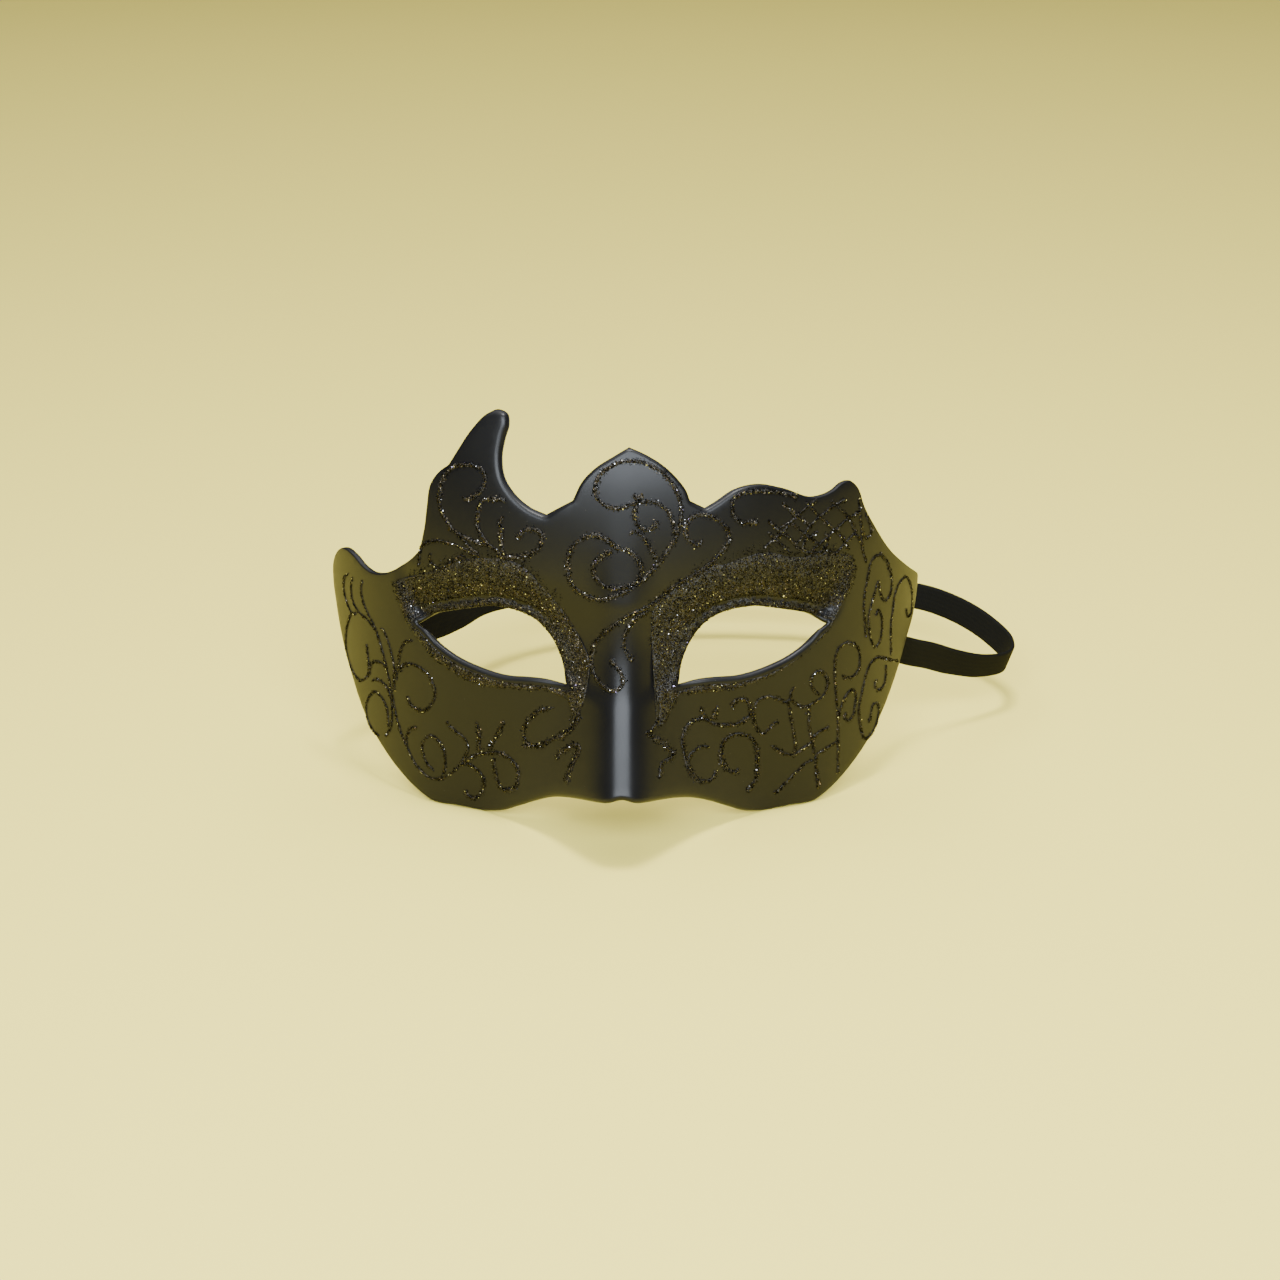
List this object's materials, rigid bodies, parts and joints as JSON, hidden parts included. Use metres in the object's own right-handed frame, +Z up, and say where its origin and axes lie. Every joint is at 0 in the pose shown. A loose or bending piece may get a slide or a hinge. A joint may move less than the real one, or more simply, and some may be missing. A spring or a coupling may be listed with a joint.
{
  "type": "costume half mask",
  "caption": "Moulded plastic carnival half mask with a horned, uneven outline, recessed almond eye openings, a straight nose and a flat elastic strap in a loop behind it.",
  "frame": {"origin": "centre of the bounding box at its bottom, on the surface that the mask stands on", "axes": "+Z up, -Y towards the viewer of the mask's front, +Y back through the strap's loop, +X to the right as seen from the front"},
  "size_m": [0.2096, 0.1706, 0.12],
  "materials": {
    "mask_plastic": "satin",
    "strap_elastic": "matte",
    "pad_plastic": "matte"
  },
  "bodies": {
    "root": {"mask_shell": "mask_plastic", "elastic_strap": "strap_elastic", "strap_pad_left": "pad_plastic", "strap_pad_right": "pad_plastic"}
  },
  "joints": []
}
